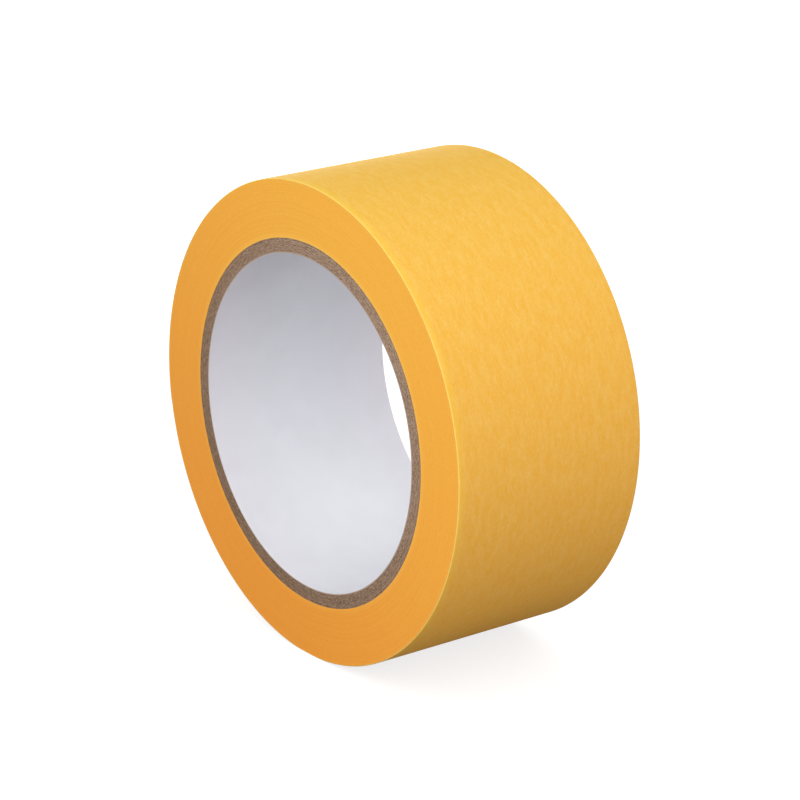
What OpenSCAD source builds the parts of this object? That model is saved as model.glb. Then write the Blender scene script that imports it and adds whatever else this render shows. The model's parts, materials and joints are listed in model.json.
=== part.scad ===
// Masking tape roll, standing on its rim: a core wound from paper strips, the wound tape,
// the tape's last turn and its free end, which peels away from the roll.
// Millimetres. The roll's axis lies along Y, +Z is up, and the origin is the middle of the core.

/* [Core] */
// Inside diameter of the core
bore_d = 77; // [40:0.5:160]
// Thickness of the white liner paper inside the core
liner_t = 0.25; // [0.15:0.05:0.6]
// Thickness of one ply of core board
ply_t = 0.6; // [0.3:0.01:1.2]
// Number of board plies around the liner
ply_count = 5; // [2:1:8]
// Glue film between two layers
glue_t = 0.02; // [0.01:0.01:0.05]
// Depth of the core's ends inside the tape's edges
core_inset = 0.05; // [0.05:0.05:1]
// Slope of the core's spiral seams, in degrees from the rim
seam_slope = 30; // [20:1:60]
// Open butt seam between a core strip's edges, along the rim
seam_gap = 0.2; // [0.1:0.05:1]
// Middle of the liner's seam, in degrees up from +X
seam_angle = 23; // [0:1:45]
// Turn between the seams of neighbouring layers, in degrees
seam_step = 67; // [40:1:80]

/* [Tape] */
// Width of the tape
tape_w = 50; // [18:1:100]
// Length of the tape on the roll
tape_len = 50000; // [10000:1000:66000]
// Thickness of the tape with its adhesive
tape_t = 0.08; // [0.06:0.001:0.15]

/* [Free end] */
// Direction of the tape's cut end, in degrees up from +X
end_angle = 190; // [150:5:220]
// Length of tape that peels away
end_len = 57; // [24:1:80]
// Number of lengths that it bends in
end_count = 6; // [2:1:8]
// Gap under the free end
end_lift = 0.05; // [0.02:0.01:0.2]
// Clearance between two lengths, along the tape
fold_gap = 0.06; // [0.02:0.01:0.2]
// Distance from the cut end to the start of the last turn
tip_gap = 0.5; // [0.45:0.05:5]

/* [Stand] */
// Depth of the flat that the roll stands on
foot_depth = 0.2; // [0.2:0.1:1]

/* [Hidden] */
$fn = 240;

liner_colour = "#e9e9ee";
board_colour = "#8f7560";
edge_colour = "#f0a63c";
tape_colour = "#f6bd45";

// Core: the liner is layer 0, and the board plies are layers 1 to ply_count. A seam's lead is
// its rise along the axis in one turn.
bore_r = bore_d / 2;
core_len = tape_w - 2 * core_inset;
core_r = bore_r + liner_t + ply_count * (glue_t + ply_t);
seam_lead = PI * bore_d * tan(seam_slope);
// Turn of one facet of a seam, in degrees, and how far a cut runs past what it cuts
seam_facet = 6;
cut_past = 1;

function layer_t(i) = i == 0 ? liner_t : ply_t;
function layer_r(i) = i == 0 ? bore_r : bore_r + liner_t + glue_t + (i - 1) * (ply_t + glue_t);

// Tape: its side area, length times thickness, sets how far the roll builds up on the core.
tape_in_r = core_r + glue_t;
roll_r = sqrt(pow(tape_in_r, 2) + tape_len * tape_t / PI);
wound_r = roll_r - tape_t;

// Free end, in degrees back from the start of the last turn.
function arc_deg(len) = len / roll_r * 180 / PI;
end_step = arc_deg(end_len) / end_count;
end_in_r = wound_r + tape_t / 4 + end_lift;
function fold_deg(i) = -arc_deg(tip_gap) - (end_count + 1 - i) * end_step;

// Stand: height of the axis above the surface.
foot_r = roll_r - foot_depth;

// Least distance from the last turn to itself, between points of its outer face that lie
// half a turn or more apart along the tape, out to the cut end.
turn_deg = 360 + fold_deg(end_count + 1);
measure_count = 180;
function lift_at(a) = a > 360 + fold_deg(1) ? end_lift : 0;
turn_points = [
    for (k = [0 : measure_count])
        let (a = turn_deg * k / measure_count)
            (roll_r + tape_t * (a / 360 - 0.5) + lift_at(a)) * [cos(a), sin(a)]
];
least_gap = min([
    for (i = [0 : measure_count / 2], j = [i + measure_count / 2 : measure_count])
        norm(turn_points[i] - turn_points[j])
]);
echo(str("Least gap of the last turn to itself, in mm: ", least_gap));
echo(str("Roll diameter in mm: ", 2 * roll_r, ", turns: ", (roll_r - tape_in_r) / tape_t));

// Lays a shape drawn around Z down, so that its axis is along Y.
module on_axis() {
    rotate([90, 0, 0]) children();
}

// Helical blade that cuts a butt seam through a layer from r to r + t, around Z. It crosses
// the X axis at half its height, and its outline keeps one segment for each side.
module seam_blade(r, t) {
    blade_len = core_len + 2 * cut_past;
    blade_turn = 360 * blade_len / seam_lead;
    rotate(-blade_turn / 2)
        linear_extrude(
            height = blade_len,
            center = true,
            twist = -blade_turn,
            slices = ceil(blade_turn / seam_facet),
            segments = 4
        )
            translate([r - cut_past, -seam_gap / 2])
                square([t + 2 * cut_past, seam_gap]);
}

// One strip of the core, wound into a tube whose edges meet at a spiral seam.
module core_layer(i) {
    r = layer_r(i);
    t = layer_t(i);
    on_axis() difference() {
        cylinder(r = r + t, h = core_len, center = true);
        cylinder(r = r, h = core_len + 2 * cut_past, center = true);
        rotate(seam_angle + i * seam_step) seam_blade(r, t);
    }
}

module core_liner() {
    color(liner_colour) core_layer(0);
}

module core_ply(i) {
    color(board_colour) core_layer(i);
}

// Half of a disc, above the X axis.
module half_disc(r) {
    intersection() {
        circle(r);
        translate([-r - cut_past, 0]) square([2 * (r + cut_past), r + cut_past]);
    }
}

// Outline of a wound roll of mean radius r: two half turns about two centres make a spiral
// that grows by one tape thickness, with its step at the direction of the cut end.
module wound_outline(r) {
    rotate(end_angle) {
        translate([-tape_t / 4, 0]) half_disc(r - tape_t / 4);
        translate([tape_t / 4, 0]) rotate(180) half_disc(r + tape_t / 4);
    }
}

// The same outline with a flat at depth below the axis, where the roll stands.
module standing_outline(r, depth) {
    intersection() {
        wound_outline(r);
        translate([-r - cut_past, -depth]) square([2 * (r + cut_past), depth + r + cut_past]);
    }
}

// Sector that the free end takes out of the last turn. It reaches well past the roll.
module end_sector() {
    reach = 2 * roll_r;
    first = fold_deg(1) - arc_deg(fold_gap / 2);
    rotate(end_angle)
        polygon([[0, 0], for (a = [first, first / 2, 0]) reach * [cos(a), sin(a)]]);
}

// Every turn of the tape but the last.
module wound_tape() {
    color(edge_colour) on_axis()
        linear_extrude(tape_w, center = true) difference() {
            standing_outline(wound_r, foot_r - tape_t);
            circle(tape_in_r);
        }
}

// The last turn, from its step on the wound tape to the first fold of the free end.
module last_turn() {
    color(tape_colour) on_axis()
        linear_extrude(tape_w, center = true) difference() {
            standing_outline(roll_r, foot_r);
            standing_outline(wound_r, foot_r - tape_t);
            end_sector();
        }
}

// One length of the free end, counted from the roll to the cut end.
module free_end(i) {
    gap = arc_deg(fold_gap);
    color(tape_colour) on_axis()
        rotate(end_angle) translate([tape_t / 4, 0, 0]) rotate(fold_deg(i) + gap / 2)
            rotate_extrude(angle = end_step - gap)
                translate([end_in_r, -tape_w / 2]) square([tape_t, tape_w]);
}

core_liner();
for (i = [1 : ply_count])
    core_ply(i);
wound_tape();
last_turn();
for (i = [1 : end_count])
    free_end(i);
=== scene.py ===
import json
import math

import bmesh
import bpy
import numpy as np
from mathutils import Matrix, Vector, noise


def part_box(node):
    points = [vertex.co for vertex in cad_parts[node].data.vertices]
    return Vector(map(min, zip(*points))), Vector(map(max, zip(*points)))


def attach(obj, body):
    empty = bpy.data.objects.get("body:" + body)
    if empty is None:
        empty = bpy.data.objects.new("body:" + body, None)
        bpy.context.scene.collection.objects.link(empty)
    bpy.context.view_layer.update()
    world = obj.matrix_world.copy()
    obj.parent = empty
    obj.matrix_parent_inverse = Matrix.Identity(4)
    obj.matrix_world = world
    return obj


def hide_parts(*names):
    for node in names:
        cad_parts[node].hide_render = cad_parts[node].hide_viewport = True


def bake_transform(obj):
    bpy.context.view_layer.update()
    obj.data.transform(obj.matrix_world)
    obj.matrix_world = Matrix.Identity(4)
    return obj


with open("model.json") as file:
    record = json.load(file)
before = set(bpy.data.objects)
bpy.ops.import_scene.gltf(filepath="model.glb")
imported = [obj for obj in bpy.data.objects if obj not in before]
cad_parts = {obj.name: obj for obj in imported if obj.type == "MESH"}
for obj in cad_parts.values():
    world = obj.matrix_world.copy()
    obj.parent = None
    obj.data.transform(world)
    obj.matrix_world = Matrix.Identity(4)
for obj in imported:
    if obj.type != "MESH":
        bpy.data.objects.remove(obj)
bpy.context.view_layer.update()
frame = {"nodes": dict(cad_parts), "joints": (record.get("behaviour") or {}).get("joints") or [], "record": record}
mm = 0.001
print("frame loaded:", len(frame["nodes"]), "nodes")


# sizes that the frame gives
mounts = {m["name"]: m for m in frame["record"]["mounts"]}
boreR = mounts["core_bore"]["dims"]["r_mm"] * mm
footZ = mounts["standing_flat"]["pos_m"][2]
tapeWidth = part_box("wound_tape")[1].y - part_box("wound_tape")[0].y
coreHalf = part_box("core_liner")[1].y
plyNames = sorted(n for n in frame["nodes"] if n.startswith("core_ply"))
endNames = sorted(n for n in frame["nodes"] if n.startswith("free_end"))
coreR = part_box(plyNames[-1])[1].x

# the hinge lines of the free end, as angles round the roll in degrees, up from +X
foldAngles = [math.degrees(math.atan2(j["pos_m"][2], j["pos_m"][0])) % 360 for j in frame["joints"]]
foldStep = foldAngles[1] - foldAngles[0]
cutAngle = foldAngles[-1] + foldStep
peelTurn = 360 - foldStep * len(foldAngles)      # turn of the tape where it starts to lift


# one function for nodes: properties, unlinked inputs and linked inputs
def addNode(tree, kind, props=None, values=None, links=None):
    node = tree.nodes.new(kind)
    for name, value in (props or {}).items():
        setattr(node, name, value)
    for name, value in (values or {}).items():
        node.inputs[name].default_value = value
    for name, socket in (links or {}).items():
        tree.links.new(socket, node.inputs[name])
    return node


def hexColour(text):               # sRGB to linear
    channels = [int(text[i:i + 2], 16) / 255 for i in (1, 3, 5)]
    linear = [c / 12.92 if c <= 0.04045 else ((c + 0.055) / 1.055) ** 2.4 for c in channels]
    return (*linear, 1)


def newMaterial(name):
    material = bpy.data.materials.new(name)
    material.use_nodes = True
    material.node_tree.nodes.clear()
    return material, material.node_tree


mixA, mixB, mixOut = 6, 7, 2       # colour sockets of the mix node


# Washi paper, saturated and coated so that it unrolls cleanly: long pale fibres lie along the
# strip, cloudy where the sheet is thicker, and the coating gives a soft satin.
washi = {
    # painted light: the rim colour is a painted highlight on the slit edges, the glow colour a painted glow by the
    # front edge
    "deep": "#e2a931", "pale": "#e7be5b", "fibre": "#ebd698", "rim": "#eed187", "glow": "#eac848",
    "cloudLong": 4.5, "cloudWide": 1.7, "cloudAmount": 0.5,      # mm, thick and thin places
    "mottleLong": 1.0, "mottleWide": 0.6, "mottleAmount": 0.4,   # mm, knots of fibre
    "grain": 0.26, "grainAmount": 1.65,                          # mm, ends of fibres
    "fibreLong": 1.7, "fibreWide": 0.14, "fibreAmount": 0.41,    # mm, ten times too wide, to show
    "fibreTilts": (6, -18, 34), "fibreCurl": 0.7,                # degrees from the strip's length
    "paintedGlowWide": 2.0, "paintedGlowAmount": 0.5,                          # mm, painted glow: paper drawn paler by its front edge, for light coming through it
    "rimUneven": 1.5, "rimStart": -0.25, "rimStop": 0.75,        # in widths of the rim
    "rimAmount": 0.45,
    # the part of each noise that shows
    "cloudSpan": {"From Min": 0.34, "From Max": 0.68},
    "mottleSpan": {"From Min": 0.3, "From Max": 0.72},
    "fibreSpan": {"From Min": 0.6, "From Max": 0.78},
    "paleSpan": {"From Min": 0.47, "From Max": 1.97},
    "roughSpan": {"From Max": 1.6, "To Min": 0.68, "To Max": 0.82},
    "fibreHeight": 0.6, "bump": {"Strength": 0.5, "Distance": 0.012 * mm},
    "gloss": {"IOR": 1.47, "Specular IOR Level": 0.08},
}


def washiMaterial(rimAt, rimWide):
    material, tree = newMaterial("washiPaperCoated")
    place = addNode(tree, "ShaderNodeAttribute", {"attribute_name": "place"})
    along = place.outputs["Vector"]
    cloudAt = addNode(tree, "ShaderNodeMapping", links={"Vector": along},
                      values={"Scale": (1 / washi["cloudLong"], 1 / washi["cloudWide"], 1)})
    cloud = addNode(tree, "ShaderNodeTexNoise", values={"Scale": 1, "Detail": 4, "Roughness": 0.6},
                    links={"Vector": cloudAt.outputs[0]})
    mottleAt = addNode(tree, "ShaderNodeMapping", links={"Vector": along},
                       values={"Location": (7, 3, 0),
                               "Scale": (1 / washi["mottleLong"], 1 / washi["mottleWide"], 1)})
    mottle = addNode(tree, "ShaderNodeTexNoise", values={"Scale": 1, "Detail": 2, "Roughness": 0.6},
                     links={"Vector": mottleAt.outputs[0]})
    grainAt = addNode(tree, "ShaderNodeMapping", links={"Vector": along},
                      values={"Scale": (1 / washi["grain"],) * 3})
    grain = addNode(tree, "ShaderNodeTexNoise", values={"Scale": 1, "Detail": 1},
                    links={"Vector": grainAt.outputs[0]})
    cloudShare = addNode(tree, "ShaderNodeMapRange", {"interpolation_type": "SMOOTHSTEP"},
                         washi["cloudSpan"], {"Value": cloud.outputs[0]})
    mottleShare = addNode(tree, "ShaderNodeMapRange", {"interpolation_type": "SMOOTHSTEP"},
                          washi["mottleSpan"], {"Value": mottle.outputs[0]})
    thick = addNode(tree, "ShaderNodeMath", {"operation": "MULTIPLY"}, {1: washi["cloudAmount"]},
                    {0: cloudShare.outputs[0]})
    sheet = addNode(tree, "ShaderNodeMath", {"operation": "MULTIPLY_ADD"}, {1: washi["mottleAmount"]},
                    {0: mottleShare.outputs[0], 2: thick.outputs[0]})
    grained = addNode(tree, "ShaderNodeMath", {"operation": "MULTIPLY_ADD"}, {1: washi["grainAmount"]},
                      {0: grain.outputs[0], 2: sheet.outputs[0]})
    paleShare = addNode(tree, "ShaderNodeMapRange", values=washi["paleSpan"],
                        links={"Value": grained.outputs[0]})
    paper = addNode(tree, "ShaderNodeMix", {"data_type": "RGBA"},
                    {mixA: hexColour(washi["deep"]), mixB: hexColour(washi["pale"])},
                    {0: paleShare.outputs[0]})
    # fibres lie at a few tilts, and each tilt has its own spots
    fibreSum = None
    for i, tilt in enumerate(washi["fibreTilts"]):
        fibreAt = addNode(tree, "ShaderNodeMapping", links={"Vector": along},
                          values={"Location": (13 * i, 5 * i, 0),
                                  "Rotation": (0, 0, math.radians(tilt)),
                                  "Scale": (1 / washi["fibreLong"], 1 / washi["fibreWide"], 1)})
        fibre = addNode(tree, "ShaderNodeTexNoise",
                        values={"Scale": 1, "Detail": 1.5, "Distortion": washi["fibreCurl"]},
                        links={"Vector": fibreAt.outputs[0]})
        strand = addNode(tree, "ShaderNodeMapRange", {"interpolation_type": "SMOOTHSTEP"},
                         washi["fibreSpan"], {"Value": fibre.outputs[0]})
        if fibreSum:
            strand = addNode(tree, "ShaderNodeMath", {"operation": "MAXIMUM"},
                             links={0: strand.outputs[0], 1: fibreSum.outputs[0]})
        fibreSum = strand
    fibreShare = addNode(tree, "ShaderNodeMath", {"operation": "MULTIPLY"}, {1: washi["fibreAmount"]},
                         {0: fibreSum.outputs[0]})
    withFibre = addNode(tree, "ShaderNodeMix", {"data_type": "RGBA"},
                        {mixB: hexColour(washi["fibre"])},
                        {0: fibreShare.outputs[0], mixA: paper.outputs[mixOut]})
    # painted glow: the paper is drawn paler near the front edge, standing in for light coming through it
    parts = addNode(tree, "ShaderNodeSeparateXYZ", links={0: along})
    glow = addNode(tree, "ShaderNodeMapRange", links={"Value": parts.outputs[1]},
                   values={"From Min": washi["paintedGlowWide"] - rimAt, "From Max": -rimAt,
                           "To Max": washi["paintedGlowAmount"]})
    paintedGlowMix = addNode(tree, "ShaderNodeMix", {"data_type": "RGBA"}, {mixB: hexColour(washi["glow"])},
                  {0: glow.outputs[0], mixA: withFibre.outputs[mixOut]})
    # painted highlight: the slit edges are drawn pale, unevenly, for the light that the rounded rim catches
    across = addNode(tree, "ShaderNodeMath", {"operation": "ABSOLUTE"}, links={0: parts.outputs[1]})
    uneven = addNode(tree, "ShaderNodeMath", {"operation": "MULTIPLY_ADD"},
                     {1: rimWide * washi["rimUneven"]}, {0: mottle.outputs[0], 2: across.outputs[0]})
    rim = addNode(tree, "ShaderNodeMapRange", {"interpolation_type": "SMOOTHSTEP"},
                  {"From Min": rimAt + rimWide * washi["rimStart"],
                   "From Max": rimAt + rimWide * washi["rimStop"], "To Max": washi["rimAmount"]},
                  {"Value": uneven.outputs[0]})
    colour = addNode(tree, "ShaderNodeMix", {"data_type": "RGBA"}, {mixB: hexColour(washi["rim"])},
                     {0: rim.outputs[0], mixA: paintedGlowMix.outputs[mixOut]})
    rough = addNode(tree, "ShaderNodeMapRange", values=washi["roughSpan"],
                    links={"Value": grained.outputs[0]})
    height = addNode(tree, "ShaderNodeMath", {"operation": "MULTIPLY_ADD"}, {1: washi["fibreHeight"]},
                     {0: fibreSum.outputs[0], 2: grained.outputs[0]})
    bump = addNode(tree, "ShaderNodeBump", values=washi["bump"], links={"Height": height.outputs[0]})
    shader = addNode(tree, "ShaderNodeBsdfPrincipled", values=washi["gloss"],
                     links={"Base Color": colour.outputs[mixOut], "Roughness": rough.outputs[0],
                            "Normal": bump.outputs[0]})
    addNode(tree, "ShaderNodeOutputMaterial", links={"Surface": shader.outputs[0]})
    return material


# painted shade: the roll's sides are drawn paler towards the upper right and darker away from it, for how the
# light falls
paintedShading = {"towards": 64, "boardTowards": 46, "full": "#ffffff"}      # degrees up from +X


def paintedShadeColour(tree, facing, colour, shadedTint):
    share = addNode(tree, "ShaderNodeMapRange", values={"From Min": -1},
                    links={"Value": facing.outputs[0]})
    tint = addNode(tree, "ShaderNodeMix", {"data_type": "RGBA"},
                   {mixA: hexColour(shadedTint), mixB: hexColour(paintedShading["full"])}, {0: share.outputs[0]})
    return addNode(tree, "ShaderNodeMix", {"data_type": "RGBA", "blend_type": "MULTIPLY"}, {0: 1},
                   {mixA: colour.outputs[mixOut], mixB: tint.outputs[mixOut]})


# Wound tape edges, log-slit with a round knife: the imported edges of coated paper and adhesive read
# as one satin orange with faint rings; a yellower band by the core is painted light.
edge = {
    # painted light: the band colour by the core paints a yellower glow there
    "orange": "#e79b2c", "ring": "#edb54a", "paintedCoreLight": "#efbb50", "speck": "#f4ca8a",
    # painted shade: the tint that darkens the side away from the upper right
    "shadedTint": "#ffe5da",
    "ringFine": 0.24, "fineAmount": 0.75,          # mm, rings of a few turns, since one is too fine
    "ringBroad": 0.9, "broadAmount": 0.1,          # mm, rings where the winding pull changed
    "grain": 0.3, "grainAmount": 0.9,              # mm, burrs that the knife left
    "drift": 9.0, "driftAcross": 5.0,              # mm, how far a ring stays the same
    "ringWander": 2.5,                             # in widths of a ring
    "innerWide": 1.4, "innerAmount": 0.6,          # mm, painted light: yellower band by the core
    "speckSize": 0.6,                              # mm, flecks of pale fibre
    "speckSpan": {"From Min": 0.86, "From Max": 0.92, "To Max": 0.7},
    "ringSpan": {"From Min": 0.5, "From Max": 1.2},
    "roughSpan": {"From Min": 0.5, "From Max": 1.5, "To Min": 0.44, "To Max": 0.56},
    "bump": {"Strength": 0.4, "Distance": 0.008 * mm},
    "gloss": {"IOR": 1.48, "Specular IOR Level": 0.15},
}


def edgeMaterial(innerAt):
    material, tree = newMaterial("woundTapeEdgeSlit")
    place = addNode(tree, "ShaderNodeAttribute", {"attribute_name": "place"})
    spot = place.outputs["Vector"]
    parts = addNode(tree, "ShaderNodeSeparateXYZ", links={0: spot})
    radius = parts.outputs[2]
    driftAt = addNode(tree, "ShaderNodeMapping", links={"Vector": spot},
                      values={"Scale": (1 / edge["drift"], 1 / edge["drift"], 1 / edge["driftAcross"])})
    drift = addNode(tree, "ShaderNodeTexNoise", values={"Scale": 1, "Detail": 2},
                    links={"Vector": driftAt.outputs[0]})
    rings = []
    for size in (edge["ringFine"], edge["ringBroad"]):
        turn = addNode(tree, "ShaderNodeMath", {"operation": "MULTIPLY"}, {1: 1 / size}, {0: radius})
        wander = addNode(tree, "ShaderNodeMath", {"operation": "MULTIPLY_ADD"}, {1: edge["ringWander"]},
                         {0: drift.outputs[0], 2: turn.outputs[0]})
        rings.append(addNode(tree, "ShaderNodeTexNoise", {"noise_dimensions": "1D"},
                             {"Scale": 1, "Detail": 1}, {"W": wander.outputs[0]}))
    broadRing = addNode(tree, "ShaderNodeMath", {"operation": "MULTIPLY"}, {1: edge["broadAmount"]},
                        {0: rings[1].outputs[0]})
    ringSum = addNode(tree, "ShaderNodeMath", {"operation": "MULTIPLY_ADD"}, {1: edge["fineAmount"]},
                      {0: rings[0].outputs[0], 2: broadRing.outputs[0]})
    grainAt = addNode(tree, "ShaderNodeMapping", links={"Vector": spot},
                      values={"Scale": (1 / edge["grain"],) * 3})
    grain = addNode(tree, "ShaderNodeTexNoise", values={"Scale": 1, "Detail": 1},
                    links={"Vector": grainAt.outputs[0]})
    ringTone = addNode(tree, "ShaderNodeMath", {"operation": "MULTIPLY_ADD"}, {1: edge["grainAmount"]},
                       {0: grain.outputs[0], 2: ringSum.outputs[0]})
    ringShare = addNode(tree, "ShaderNodeMapRange", values=edge["ringSpan"],
                        links={"Value": ringTone.outputs[0]})
    orange = addNode(tree, "ShaderNodeMix", {"data_type": "RGBA"},
                     {mixA: hexColour(edge["orange"]), mixB: hexColour(edge["ring"])},
                     {0: ringShare.outputs[0]})
    innerShare = addNode(tree, "ShaderNodeMapRange", {"interpolation_type": "SMOOTHSTEP"},
                         {"From Min": innerAt, "From Max": innerAt + edge["innerWide"],
                          "To Min": edge["innerAmount"], "To Max": 0}, {"Value": radius})
    golden = addNode(tree, "ShaderNodeMix", {"data_type": "RGBA"}, {mixB: hexColour(edge["paintedCoreLight"])},
                     {0: innerShare.outputs[0], mixA: orange.outputs[mixOut]})
    speckAt = addNode(tree, "ShaderNodeMapping", links={"Vector": spot},
                      values={"Scale": (1 / edge["speckSize"],) * 3})
    speck = addNode(tree, "ShaderNodeTexNoise", values={"Scale": 1, "Detail": 0},
                    links={"Vector": speckAt.outputs[0]})
    speckShare = addNode(tree, "ShaderNodeMapRange", values=edge["speckSpan"],
                         links={"Value": speck.outputs[0]})
    specked = addNode(tree, "ShaderNodeMix", {"data_type": "RGBA"}, {mixB: hexColour(edge["speck"])},
                      {0: speckShare.outputs[0], mixA: golden.outputs[mixOut]})
    # painted shade: the side is drawn darker away from the upper right
    towards = math.radians(paintedShading["towards"])
    reach = addNode(tree, "ShaderNodeVectorMath", {"operation": "DOT_PRODUCT"},
                    {1: (math.cos(towards), math.sin(towards), 0)}, {0: spot})
    facing = addNode(tree, "ShaderNodeMath", {"operation": "DIVIDE"},
                     links={0: reach.outputs["Value"], 1: radius})
    colour = paintedShadeColour(tree, facing, specked, edge["shadedTint"])
    rough = addNode(tree, "ShaderNodeMapRange", values=edge["roughSpan"],
                    links={"Value": ringTone.outputs[0]})
    bump = addNode(tree, "ShaderNodeBump", values=edge["bump"], links={"Height": ringSum.outputs[0]})
    shader = addNode(tree, "ShaderNodeBsdfPrincipled", values=edge["gloss"],
                     links={"Base Color": colour.outputs[mixOut], "Roughness": rough.outputs[0],
                            "Normal": bump.outputs[0]})
    addNode(tree, "ShaderNodeOutputMaterial", links={"Surface": shader.outputs[0]})
    return material


# Recycled core board, cut with a saw: grey-brown, matt and granular, pale and dark from mixed fibres.
board = {
    # painted shade: the last tint in this line darkens the cut end away from the upper right
    "dark": "#3b2719", "mid": "#896a51", "light": "#e2cab3", "shadedTint": "#d9d4cc",
    "grain": 0.14,                                 # mm, clumps of fibre
    "layer": 0.2, "layerAmount": 0.1,              # mm, layers that the board is pressed from
    "drift": 9.0, "layerWander": 1.2,              # mm, and in thicknesses of a layer
    "darkSpan": {"From Min": 0.44, "From Max": 0.55},
    "lightSpan": {"From Min": 0.55, "From Max": 0.68, "To Max": 0.85},
    "roughSpan": {"From Min": 0.4, "From Max": 0.95, "To Min": 0.86, "To Max": 0.98},
    "bump": {"Strength": 0.8, "Distance": 0.04 * mm},
    "gloss": {"IOR": 1.45, "Specular IOR Level": 0.3},
}


def boardMaterial():
    material, tree = newMaterial("recycledCoreBoardCut")
    place = addNode(tree, "ShaderNodeAttribute", {"attribute_name": "place"})
    spot = place.outputs["Vector"]
    grainAt = addNode(tree, "ShaderNodeMapping", links={"Vector": spot},
                      values={"Scale": (1 / board["grain"],) * 3})
    grain = addNode(tree, "ShaderNodeTexNoise", values={"Scale": 1, "Detail": 3, "Roughness": 0.65},
                    links={"Vector": grainAt.outputs[0]})
    # the layers show faintly, as lines round the cut end
    parts = addNode(tree, "ShaderNodeSeparateXYZ", links={0: spot})
    driftAt = addNode(tree, "ShaderNodeMapping", links={"Vector": spot},
                      values={"Scale": (1 / board["drift"],) * 3})
    drift = addNode(tree, "ShaderNodeTexNoise", values={"Scale": 1, "Detail": 2},
                    links={"Vector": driftAt.outputs[0]})
    depth = addNode(tree, "ShaderNodeMath", {"operation": "MULTIPLY"}, {1: 1 / board["layer"]},
                    {0: parts.outputs[2]})
    wander = addNode(tree, "ShaderNodeMath", {"operation": "MULTIPLY_ADD"}, {1: board["layerWander"]},
                     {0: drift.outputs[0], 2: depth.outputs[0]})
    layers = addNode(tree, "ShaderNodeTexNoise", {"noise_dimensions": "1D"},
                     {"Scale": 1, "Detail": 1}, {"W": wander.outputs[0]})
    tone = addNode(tree, "ShaderNodeMath", {"operation": "MULTIPLY_ADD"}, {1: board["layerAmount"]},
                   {0: layers.outputs[0], 2: grain.outputs[0]})
    darkShare = addNode(tree, "ShaderNodeMapRange", values=board["darkSpan"],
                        links={"Value": tone.outputs[0]})
    lightShare = addNode(tree, "ShaderNodeMapRange", values=board["lightSpan"],
                         links={"Value": tone.outputs[0]})
    lower = addNode(tree, "ShaderNodeMix", {"data_type": "RGBA"},
                    {mixA: hexColour(board["dark"]), mixB: hexColour(board["mid"])},
                    {0: darkShare.outputs[0]})
    mixed = addNode(tree, "ShaderNodeMix", {"data_type": "RGBA"}, {mixB: hexColour(board["light"])},
                    {0: lightShare.outputs[0], mixA: lower.outputs[mixOut]})
    # painted shade: the cut end is drawn darker away from the upper right
    angle = addNode(tree, "ShaderNodeMath", {"operation": "DIVIDE"},
                    links={0: parts.outputs[0], 1: parts.outputs[2]})
    turned = addNode(tree, "ShaderNodeMath", {"operation": "SUBTRACT"},
                     {1: math.radians(paintedShading["boardTowards"])}, {0: angle.outputs[0]})
    facing = addNode(tree, "ShaderNodeMath", {"operation": "COSINE"}, links={0: turned.outputs[0]})
    colour = paintedShadeColour(tree, facing, mixed, board["shadedTint"])
    rough = addNode(tree, "ShaderNodeMapRange", values=board["roughSpan"],
                    links={"Value": tone.outputs[0]})
    bump = addNode(tree, "ShaderNodeBump", values=board["bump"], links={"Height": tone.outputs[0]})
    shader = addNode(tree, "ShaderNodeBsdfPrincipled", values=board["gloss"],
                     links={"Base Color": colour.outputs[mixOut], "Roughness": rough.outputs[0],
                            "Normal": bump.outputs[0]})
    addNode(tree, "ShaderNodeOutputMaterial", links={"Surface": shader.outputs[0]})
    return material


# White liner paper, clay-coated and calendered: cool white with a low sheen, a little uneven where
# the board under it prints through.
liner = {
    "white": "#dddde2", "shade": "#d9d9de", "edge": "#a68f7c",
    "edgeWide": 0.06,                              # mm, sawdust rubbed into the cut edge
    "printThrough": 7.0,                           # mm, unevenness of the board
    "grain": 0.4, "grainAmount": 0.35,             # mm, coating
    "toneSpan": {"From Min": 0.45, "From Max": 0.9},
    "roughSpan": {"From Min": 0.4, "From Max": 0.95, "To Min": 0.4, "To Max": 0.5},
    "bump": {"Strength": 0.3, "Distance": 0.011 * mm},
    "gloss": {"IOR": 1.5, "Specular IOR Level": 0.3},
}


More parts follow.
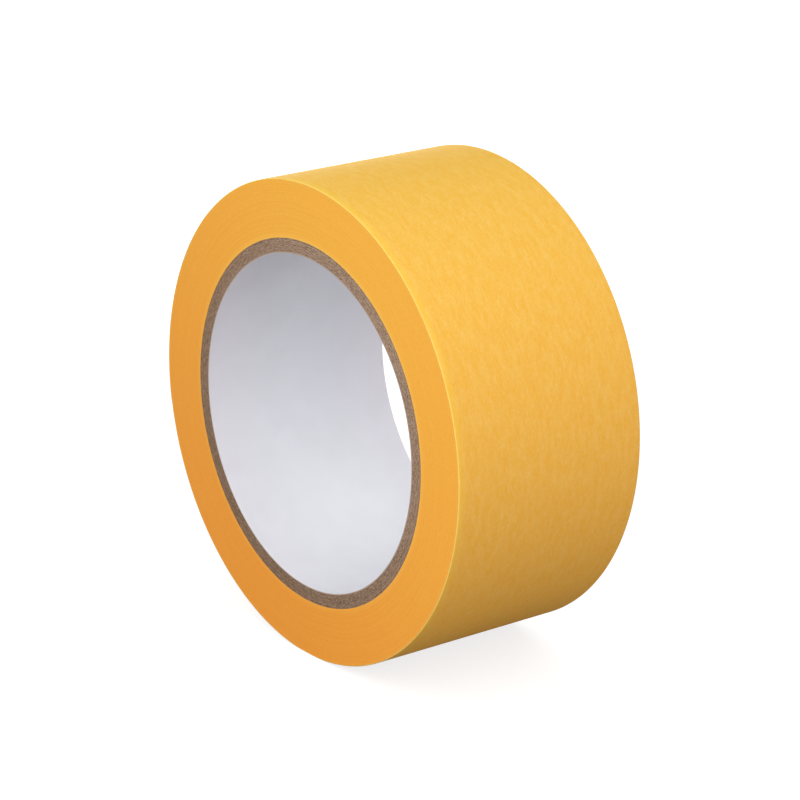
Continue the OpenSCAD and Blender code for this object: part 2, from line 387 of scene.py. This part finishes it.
def linerMaterial(endAt):
    material, tree = newMaterial("linerPaperCalendered")
    place = addNode(tree, "ShaderNodeAttribute", {"attribute_name": "place"})
    spot = place.outputs["Vector"]
    broadAt = addNode(tree, "ShaderNodeMapping", links={"Vector": spot},
                      values={"Scale": (1 / liner["printThrough"],) * 3})
    broad = addNode(tree, "ShaderNodeTexNoise", values={"Scale": 1, "Detail": 1.5},
                    links={"Vector": broadAt.outputs[0]})
    grainAt = addNode(tree, "ShaderNodeMapping", links={"Vector": spot},
                      values={"Scale": (1 / liner["grain"],) * 3})
    grain = addNode(tree, "ShaderNodeTexNoise", values={"Scale": 1, "Detail": 2},
                    links={"Vector": grainAt.outputs[0]})
    tone = addNode(tree, "ShaderNodeMath", {"operation": "MULTIPLY_ADD"}, {1: liner["grainAmount"]},
                   {0: grain.outputs[0], 2: broad.outputs[0]})
    toneShare = addNode(tree, "ShaderNodeMapRange", values=liner["toneSpan"],
                        links={"Value": tone.outputs[0]})
    paper = addNode(tree, "ShaderNodeMix", {"data_type": "RGBA"},
                    {mixA: hexColour(liner["shade"]), mixB: hexColour(liner["white"])},
                    {0: toneShare.outputs[0]})
    parts = addNode(tree, "ShaderNodeSeparateXYZ", links={0: spot})
    length = addNode(tree, "ShaderNodeMath", {"operation": "ABSOLUTE"}, links={0: parts.outputs[1]})
    cut = addNode(tree, "ShaderNodeMapRange", links={"Value": length.outputs[0]},
                  values={"From Min": endAt - liner["edgeWide"], "From Max": endAt})
    colour = addNode(tree, "ShaderNodeMix", {"data_type": "RGBA"}, {mixB: hexColour(liner["edge"])},
                     {0: cut.outputs[0], mixA: paper.outputs[mixOut]})
    rough = addNode(tree, "ShaderNodeMapRange", values=liner["roughSpan"],
                    links={"Value": tone.outputs[0]})
    bump = addNode(tree, "ShaderNodeBump", values=liner["bump"], links={"Height": tone.outputs[0]})
    shader = addNode(tree, "ShaderNodeBsdfPrincipled", values=liner["gloss"],
                     links={"Base Color": colour.outputs[mixOut], "Roughness": rough.outputs[0],
                            "Normal": bump.outputs[0]})
    addNode(tree, "ShaderNodeOutputMaterial", links={"Surface": shader.outputs[0]})
    return material


# Acrylic adhesive, coated on the back of the paper: clear with a low gloss, so the paper shows
# through it a little deeper.
adhesive = {
    "paper": "#e5ac44", "thick": "#e9b85e",
    "ripple": 1.4, "stretch": 0.3,                 # mm across the strip, drawn out along it
    "roughSpan": {"To Min": 0.34, "To Max": 0.54},
    "bump": {"Strength": 0.4, "Distance": 0.015 * mm},
    "gloss": {"IOR": 1.47, "Specular IOR Level": 0.25},
}


def adhesiveMaterial():
    material, tree = newMaterial("acrylicAdhesiveCoated")
    place = addNode(tree, "ShaderNodeAttribute", {"attribute_name": "place"})
    rippleAt = addNode(tree, "ShaderNodeMapping", links={"Vector": place.outputs["Vector"]},
                       values={"Scale": (adhesive["stretch"] / adhesive["ripple"],
                                         1 / adhesive["ripple"], 1)})
    ripple = addNode(tree, "ShaderNodeTexNoise", values={"Scale": 1, "Detail": 3},
                     links={"Vector": rippleAt.outputs[0]})
    colour = addNode(tree, "ShaderNodeMix", {"data_type": "RGBA"},
                     {mixA: hexColour(adhesive["paper"]), mixB: hexColour(adhesive["thick"])},
                     {0: ripple.outputs[0]})
    rough = addNode(tree, "ShaderNodeMapRange", values=adhesive["roughSpan"],
                    links={"Value": ripple.outputs[0]})
    bump = addNode(tree, "ShaderNodeBump", values=adhesive["bump"], links={"Height": ripple.outputs[0]})
    shader = addNode(tree, "ShaderNodeBsdfPrincipled", values=adhesive["gloss"],
                     links={"Base Color": colour.outputs[mixOut], "Roughness": rough.outputs[0],
                            "Normal": bump.outputs[0]})
    addNode(tree, "ShaderNodeOutputMaterial", links={"Surface": shader.outputs[0]})
    return material


sharpEdge = math.radians(40)       # corners sharper than this stay crisp


# A solid swept through loops of points. place gives each point its spot for the patterns, in mm. An
# open sweep is closed at its ends by caps, lists of points of a loop.
def sweepSolid(name, loops, places, finishes, finishOf, caps=None):
    count, size = loops.shape[:2]
    faces, slots = [], []
    last = count if caps is None else count - 1
    for k in range(last):
        here, there = k * size, (k + 1) % count * size
        for j in range(size):
            nextJ = (j + 1) % size
            faces.append((here + j, here + nextJ, there + nextJ, there + j))
            slots.append(finishOf[j])
    for cap in caps or []:
        faces.append(tuple(cap))
        faces.append(tuple((count - 1) * size + j for j in reversed(cap)))
        slots += [0, 0]
    mesh = bpy.data.meshes.new(name)
    mesh.from_pydata(loops.reshape(-1, 3).tolist(), [], faces)
    mesh.polygons.foreach_set("material_index", slots)
    attribute = mesh.attributes.new("place", "FLOAT_VECTOR", "POINT")
    attribute.data.foreach_set("vector", places.reshape(-1).astype(np.float32))
    edit = bmesh.new()
    edit.from_mesh(mesh)
    bmesh.ops.recalc_face_normals(edit, faces=edit.faces)
    edit.to_mesh(mesh)
    edit.free()
    mesh.shade_smooth()
    mesh.set_sharp_from_angle(angle=sharpEdge)
    for finish in finishes:
        mesh.materials.append(finish)
    piece = bpy.data.objects.new(name, mesh)
    bpy.context.scene.collection.objects.link(piece)
    return piece


# Core: strips wound in spirals whose edges meet at a seam, liner first, then the board plies.
core = {
    "glueFilm": 0.02 * mm, "seamGap": 0.2 * mm,
    "seamSlope": 30, "seamAngle": 23, "seamStep": 67,     # degrees
    "stations": 400, "linerSteps": 44, "boardSteps": 26, "endSteps": 3,
    "sawRough": 0.05 * mm, "sawGrain": 1.3 * mm,          # cut ends of the board
    "linerWave": 0.02 * mm, "waveLong": 14 * mm,          # liner pressed over the board's unevenness
    "waveAlong": 0.6,                                     # waves are longer along the core
}


def coreLayer(name, layer, innerR, outerR, finish):
    steps = core["boardSteps"] if layer else core["linerSteps"]
    lengths = np.linspace(-coreHalf, coreHalf, steps + 1)
    across = np.linspace(innerR, outerR, core["endSteps"] + 1)
    section = [(innerR, y) for y in lengths]
    section += [(r, coreHalf) for r in across[1:-1]]
    section += [(outerR, y) for y in reversed(lengths)]
    section += [(r, -coreHalf) for r in reversed(across[1:-1])]
    seamLead = 2 * math.pi * boreR * math.tan(math.radians(core["seamSlope"]))
    seamHalf = core["seamGap"] / 2 / boreR
    seamMiddle = math.radians(core["seamAngle"] + layer * core["seamStep"])
    loops, places = [], []
    for share in np.linspace(0, 1, core["stations"] + 1):
        loop, spots = [], []
        for r, y in section:
            seam = seamMiddle - 2 * math.pi * y / seamLead
            angle = seam + seamHalf + 2 * (math.pi - seamHalf) * share
            point = Vector((r * math.cos(angle), y, r * math.sin(angle)))
            if layer and abs(y) >= coreHalf:
                sawn = 0.5 + 0.5 * noise.noise(point / core["sawGrain"])
                point.y -= math.copysign(core["sawRough"] * sawn, y)
            elif layer == 0 and r < outerR:
                wave = noise.noise(Vector((point.x, core["waveAlong"] * y, point.z)) / core["waveLong"])
                point += Vector((math.cos(angle), 0, math.sin(angle))) * core["linerWave"] * wave
            loop.append(point)
            spots.append((angle * r / mm, y / mm, r / mm))
        loops.append(loop)
        places.append(spots)
    # the seam's two faces: strips across the wall, the outermost two with the points of the cut ends
    ends = core["endSteps"] - 1
    outerOf = [2 * steps + 1 + ends - j for j in range(steps + 1)]
    caps = [[j, j + 1, outerOf[j + 1], outerOf[j]] for j in range(steps)]
    caps[0] += list(range(2 * steps + 2 + ends, 2 * steps + 2 + 2 * ends))
    caps[-1][2:2] = list(range(steps + 1, steps + 1 + ends))
    return sweepSolid(name, np.array(loops), np.array(places), [finish], [0] * len(section), caps)


linerFinish = linerMaterial(coreHalf / mm)
boardFinish = boardMaterial()
layerR = boreR
for layer, node in enumerate(["core_liner"] + plyNames):
    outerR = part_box(node)[1].x
    shownName = "coreLiner" if layer == 0 else f"corePly{layer}"
    piece = coreLayer(shownName, layer, layerR, outerR, boardFinish if layer else linerFinish)
    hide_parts(node)
    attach(piece, "roll")
    layerR = outerR + core["glueFilm"]
print("core wound:", 1 + len(plyNames), "layers")


# Tape: one strip, whose cross-section has slit edges turned over a little by the knife.
tape = {
    "thickness": 0.08 * mm, "footDepth": 0.2 * mm, "footSoft": 0.05 * mm, "lift": 0.05 * mm,
    "edgeRound": 0.22 * mm, "edgeSteps": 6, "widthSteps": 20,
    "rimIn": 0.3, "rimWide": 0.6,   # painted rim highlight, in rounds of the edge
    "turnStep": 1.0,                # degrees between stations
    "leastSteps": 4,                # of a short strip
    "lap": 2.0,                     # degrees that the last turn starts under its own end
    "bedDrop": 0.01 * mm,           # how far it lies clear of the turn over it there
    "rampTurn": 4.0,                # degrees over which the free end rises off the roll
    "bendSpread": 1.437,            # reach of a fold's turn to either side, in lengths between folds
}
rollR = tape["footDepth"] - footZ


def aboveFloor(z, lowest):          # the round gives way to the foot without a crease
    return lowest + tape["footSoft"] * float(np.logaddexp(0, (z - lowest) / tape["footSoft"]))


def tapeRadius(turn):               # outer face, turn in degrees, 360 at the cut end
    return rollR + tape["thickness"] * (turn / 360 - 0.5)


def tapeSection():
    half, bend = tapeWidth / 2, tape["edgeRound"]
    sides = []
    for inset in (0, tape["thickness"]):          # outer face, then the adhesive face under it
        arc = [(bend - (bend - inset) * math.sin(a), half - bend + (bend - inset) * math.cos(a))
               for a in np.linspace(0, math.pi / 2, tape["edgeSteps"] + 1)]
        flat = np.linspace(half - bend, bend - half, tape["widthSteps"] + 1)[1:-1]
        side = arc + [(inset, y) for y in flat] + [(d, -y) for d, y in reversed(arc)]
        sides.append([(depth, y, inset) for depth, y in side])
    return sides[0] + sides[1][::-1]


section = tapeSection()
sideCount = len(section) // 2
tapeCaps = [[j, j + 1, len(section) - 2 - j, len(section) - 1 - j] for j in range(sideCount - 1)]
tapeFaces = [0] * sideCount + [1] * (sideCount - 1) + [0]


def tapeStrip(name, firstTurn, lastTurn, rise, finishes):
    stations = max(tape["leastSteps"], round((lastTurn - firstTurn) / tape["turnStep"])) + 1
    loops, places = [], []
    for turn in np.linspace(firstTurn, lastTurn, stations):
        angle = math.radians(cutAngle + turn)
        loop, spots = [], []
        for depth, y, inset in section:
            r = tapeRadius(turn) + rise(turn) - depth
            loop.append((r * math.cos(angle), y, aboveFloor(r * math.sin(angle), footZ + inset)))
            spots.append((math.radians(turn) * rollR / mm, y / mm, inset / mm))
        loops.append(loop)
        places.append(spots)
    return sweepSolid(name, np.array(loops), np.array(places), finishes, tapeFaces, tapeCaps)


rimAt = (tapeWidth / 2 - tape["edgeRound"] * tape["rimIn"]) / mm
washiFinish = washiMaterial(rimAt, tape["edgeRound"] * tape["rimWide"] / mm)
adhesiveFinish = adhesiveMaterial()
strips = [washiFinish, adhesiveFinish]


# the last turn starts under the free end, where it is the bed that the end peels from
def bedRise(turn):
    return -tape["bedDrop"] if turn < peelTurn - 360 else 0


lastTurn = tapeStrip("lastTurn", peelTurn - 360 - tape["lap"], peelTurn, bedRise, strips)
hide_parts("last_turn")
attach(lastTurn, "roll")


def endRise(turn):
    share = min(1, max(0, (turn - peelTurn) / tape["rampTurn"]))
    return tape["lift"] * share * share * (3 - 2 * share)


# each piece of the free end holds a fold at its middle and ends halfway along a rigid length;
# the last piece runs on to the cut end
for i, node in enumerate(endNames):
    fold = peelTurn + i * foldStep
    first = fold - foldStep / 2 if i else fold
    last = 360 if node == endNames[-1] else fold + foldStep / 2
    piece = tapeStrip(f"freeEnd{i + 1}", first, last, endRise, strips)
    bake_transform(piece)
    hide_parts(*endNames[max(0, i - 1):i + 1])
print("last turn and free end laid:", len(endNames) + 1, "strips")


# Wound tape: the two sides show the edges of the turns, which wander a little in and out.
wound = {
    "ringStep": 0.16 * mm, "stations": 360, "cornerSteps": 3, "coreGap": 0.02 * mm, "seed": 11,
    "wander": 0.006 * mm, "wanderLeast": 0.6, "wanderDrift": 0.8, "driftLong": 25 * mm,
    "settle": 12,                   # the wander dies out over a twelfth of the side, at core and rim
}


def woundTape(finish):
    half, bend, thick, drop = tapeWidth / 2, tape["edgeRound"], tape["thickness"], tape["bedDrop"]
    innerR = coreR + wound["coreGap"]
    ringCount = round((rollR - bend - innerR) / wound["ringStep"])
    rings = np.linspace(0, 1, ringCount + 1)
    randoms = np.random.default_rng(wound["seed"])
    setIn = {side: randoms.normal(0, 1, ringCount + 1) for side in (-1, 1)}
    settled = np.minimum(1, np.minimum(rings, 1 - rings) * wound["settle"])
    cornerR = bend - thick - drop * 2
    cornerTurns = np.linspace(0, math.pi / 2, wound["cornerSteps"] + 1)
    corner = [(cornerR * math.sin(a), cornerR * math.cos(a)) for a in cornerTurns]
    loops, places = [], []
    for k in range(wound["stations"]):
        turn = peelTurn - 360 + 360 * k / wound["stations"]
        angle = math.radians(cutAngle + turn)
        cosA, sinA = math.cos(angle), math.sin(angle)
        rimR = tapeRadius(turn) - bend
        loop, spots = [], []
        for side in (-1, 1):
            face = []
            for ring, offset, soft in zip(rings, setIn[side], settled):
                r = innerR + (rimR - innerR) * ring
                drift = noise.noise(Vector((r * cosA, side, r * sinA)) / wound["driftLong"])
                share = wound["wanderLeast"] + wound["wanderDrift"] * drift
                depth = wound["wander"] * soft * max(0, offset * share + 1)      # none stands proud
                face.append((r, side * (half - depth)))
            face += [(rimR + dr, side * (half - bend + dy)) for dr, dy in corner]
            for r, y in face if side < 0 else reversed(face):
                loop.append((r * cosA, y, aboveFloor(r * sinA, footZ + thick + drop)))
                spots.append((r * cosA / mm, r * sinA / mm, r / mm))
        loops.append(loop)
        places.append(spots)
    return sweepSolid("woundTape", np.array(loops), np.array(places), [finish], [0] * len(loops[0]))


woundPiece = woundTape(edgeMaterial(coreR / mm))
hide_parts("wound_tape")
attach(woundPiece, "roll")
print("wound tape built:", len(woundPiece.data.polygons), "faces")


# Stage: a white floor that keeps the shadow, soft lamps and a white surround.
stage = {
    "floorSize": 8.0, "floorSeen": "#989898",
    "floorBounce": "#808080",                      # for all other rays, so little light comes back up
    "liftNear": 0.78, "liftFar": 1.0,              # what makes the floor white where it is seen
    "nearAt": 0.15, "farAt": 0.6,                  # metres from the roll
    "world": "#ffffff", "worldStrength": 0.56,
}


def seenRays(tree):                # camera, glossy and transmission rays see the white background
    path = addNode(tree, "ShaderNodeLightPath")
    glossy = addNode(tree, "ShaderNodeMath", {"operation": "MAXIMUM"},
                     links={0: path.outputs["Is Camera Ray"], 1: path.outputs["Is Glossy Ray"]})
    return addNode(tree, "ShaderNodeMath", {"operation": "MAXIMUM"},
                   links={0: glossy.outputs[0], 1: path.outputs["Is Transmission Ray"]})


floorMaterial, tree = newMaterial("paintedFloorMatt")
seen = seenRays(tree)
spot = addNode(tree, "ShaderNodeTexCoord")
away = addNode(tree, "ShaderNodeVectorMath", {"operation": "LENGTH"}, links={0: spot.outputs["Object"]})
white = addNode(tree, "ShaderNodeMapRange", {"interpolation_type": "SMOOTHSTEP"},
                {"From Min": stage["nearAt"], "From Max": stage["farAt"],
                 "To Min": stage["liftNear"], "To Max": stage["liftFar"]},
                {"Value": away.outputs["Value"]})
matt = addNode(tree, "ShaderNodeBsdfDiffuse", values={"Color": hexColour(stage["floorSeen"])})
glow = addNode(tree, "ShaderNodeEmission", links={"Strength": white.outputs[0]})
shown = addNode(tree, "ShaderNodeAddShader", links={0: matt.outputs[0], 1: glow.outputs[0]})
bounce = addNode(tree, "ShaderNodeBsdfDiffuse", values={"Color": hexColour(stage["floorBounce"])})
both = addNode(tree, "ShaderNodeMixShader",
               links={0: seen.outputs[0], 1: bounce.outputs[0], 2: shown.outputs[0]})
addNode(tree, "ShaderNodeOutputMaterial", links={"Surface": both.outputs[0]})
floorMesh = bpy.data.meshes.new("floor")
reach = stage["floorSize"] / 2
floorMesh.from_pydata([(x * reach, y * reach, footZ) for x, y in ((-1, -1), (1, -1), (1, 1), (-1, 1))],
                      [], [(0, 1, 2, 3)])
floorMesh.materials.append(floorMaterial)
floor = bpy.data.objects.new("floor", floorMesh)
bpy.context.scene.collection.objects.link(floor)

world = bpy.data.worlds.new("studio")
bpy.context.scene.world = world
world.use_nodes = True
world.node_tree.nodes.clear()
tree = world.node_tree
seen = seenRays(tree)
level = addNode(tree, "ShaderNodeMapRange", values={"To Min": stage["worldStrength"], "To Max": 1},
                links={"Value": seen.outputs[0]})
sky = addNode(tree, "ShaderNodeBackground", values={"Color": hexColour(stage["world"])},
              links={"Strength": level.outputs[0]})
addNode(tree, "ShaderNodeOutputWorld", links={"Surface": sky.outputs[0]})

# lamps close by, within about half a metre of the roll, so that the light falls off across it
lamps = {
    "frontSoftbox": {"from": (0.14, -0.3, 0.17), "size": 0.5, "power": 1.48, "colour": "#ffffff"},
    "backSoftbox": {"from": (0, 0.354, 0.421), "size": 0.5, "power": 0.92, "colour": "#ffffff"},
    "rightLamp": {"from": (0.4, 0, 0), "size": 0.2, "power": 0.37, "colour": "#ffbac6"},
    "farRightLamp": {"from": (0.33, 0.24, 0), "size": 0.2, "power": 0.23, "colour": "#f0f0ff"},
    "leftLamp": {"from": (-0.42, 0.26, 0.05), "size": 0.2, "power": 1.0, "colour": "#ffffff"},
}
for name, lamp in lamps.items():
    data = bpy.data.lights.new(name, "AREA")
    data.shape = "SQUARE"
    data.size = lamp["size"]
    data.energy = lamp["power"]
    data.color = hexColour(lamp["colour"])[:3]
    light = bpy.data.objects.new(name, data)
    light.location = lamp["from"]
    light.visible_camera = False
    light.rotation_euler = (-Vector(lamp["from"])).to_track_quat("-Z", "Y").to_euler()
    bpy.context.scene.collection.objects.link(light)

# the photograph's camera: where it stands round the roll, and where the middle of the near side
# lies in its view
view = {
    "azimuth": 52.90, "elevation": 18.59,                             # degrees
    "ahead": 727.1 * mm, "right": -20.85 * mm, "down": 5.41 * mm,
    "focalPixels": 3287, "framePixels": 800, "sensor": 36.0,
    "clipNear": 0.01, "clipFar": 50,                                  # metres
}
azimuth, elevation = math.radians(view["azimuth"]), math.radians(view["elevation"])
lookAlong = Vector((-math.sin(azimuth) * math.cos(elevation),
                    math.cos(azimuth) * math.cos(elevation), -math.sin(elevation)))
lookRight = Vector((math.cos(azimuth), math.sin(azimuth), 0))
lookUp = lookRight.cross(lookAlong)
nearSide = Vector((0, -tapeWidth / 2, 0))
cameraData = bpy.data.cameras.new("photoCamera")
cameraData.sensor_width = view["sensor"]
cameraData.lens = view["focalPixels"] / view["framePixels"] * view["sensor"]
cameraData.clip_start = view["clipNear"]
cameraData.clip_end = view["clipFar"]
camera = bpy.data.objects.new("photoCamera", cameraData)
camera.matrix_world = Matrix.Translation(
    nearSide - view["right"] * lookRight + view["down"] * lookUp - view["ahead"] * lookAlong
) @ Matrix((lookRight, lookUp, -lookAlong)).transposed().to_4x4()
bpy.context.scene.collection.objects.link(camera)
bpy.context.scene.camera = camera
bpy.context.scene.view_settings.view_transform = "Standard"
print("stage, lamps and camera set")
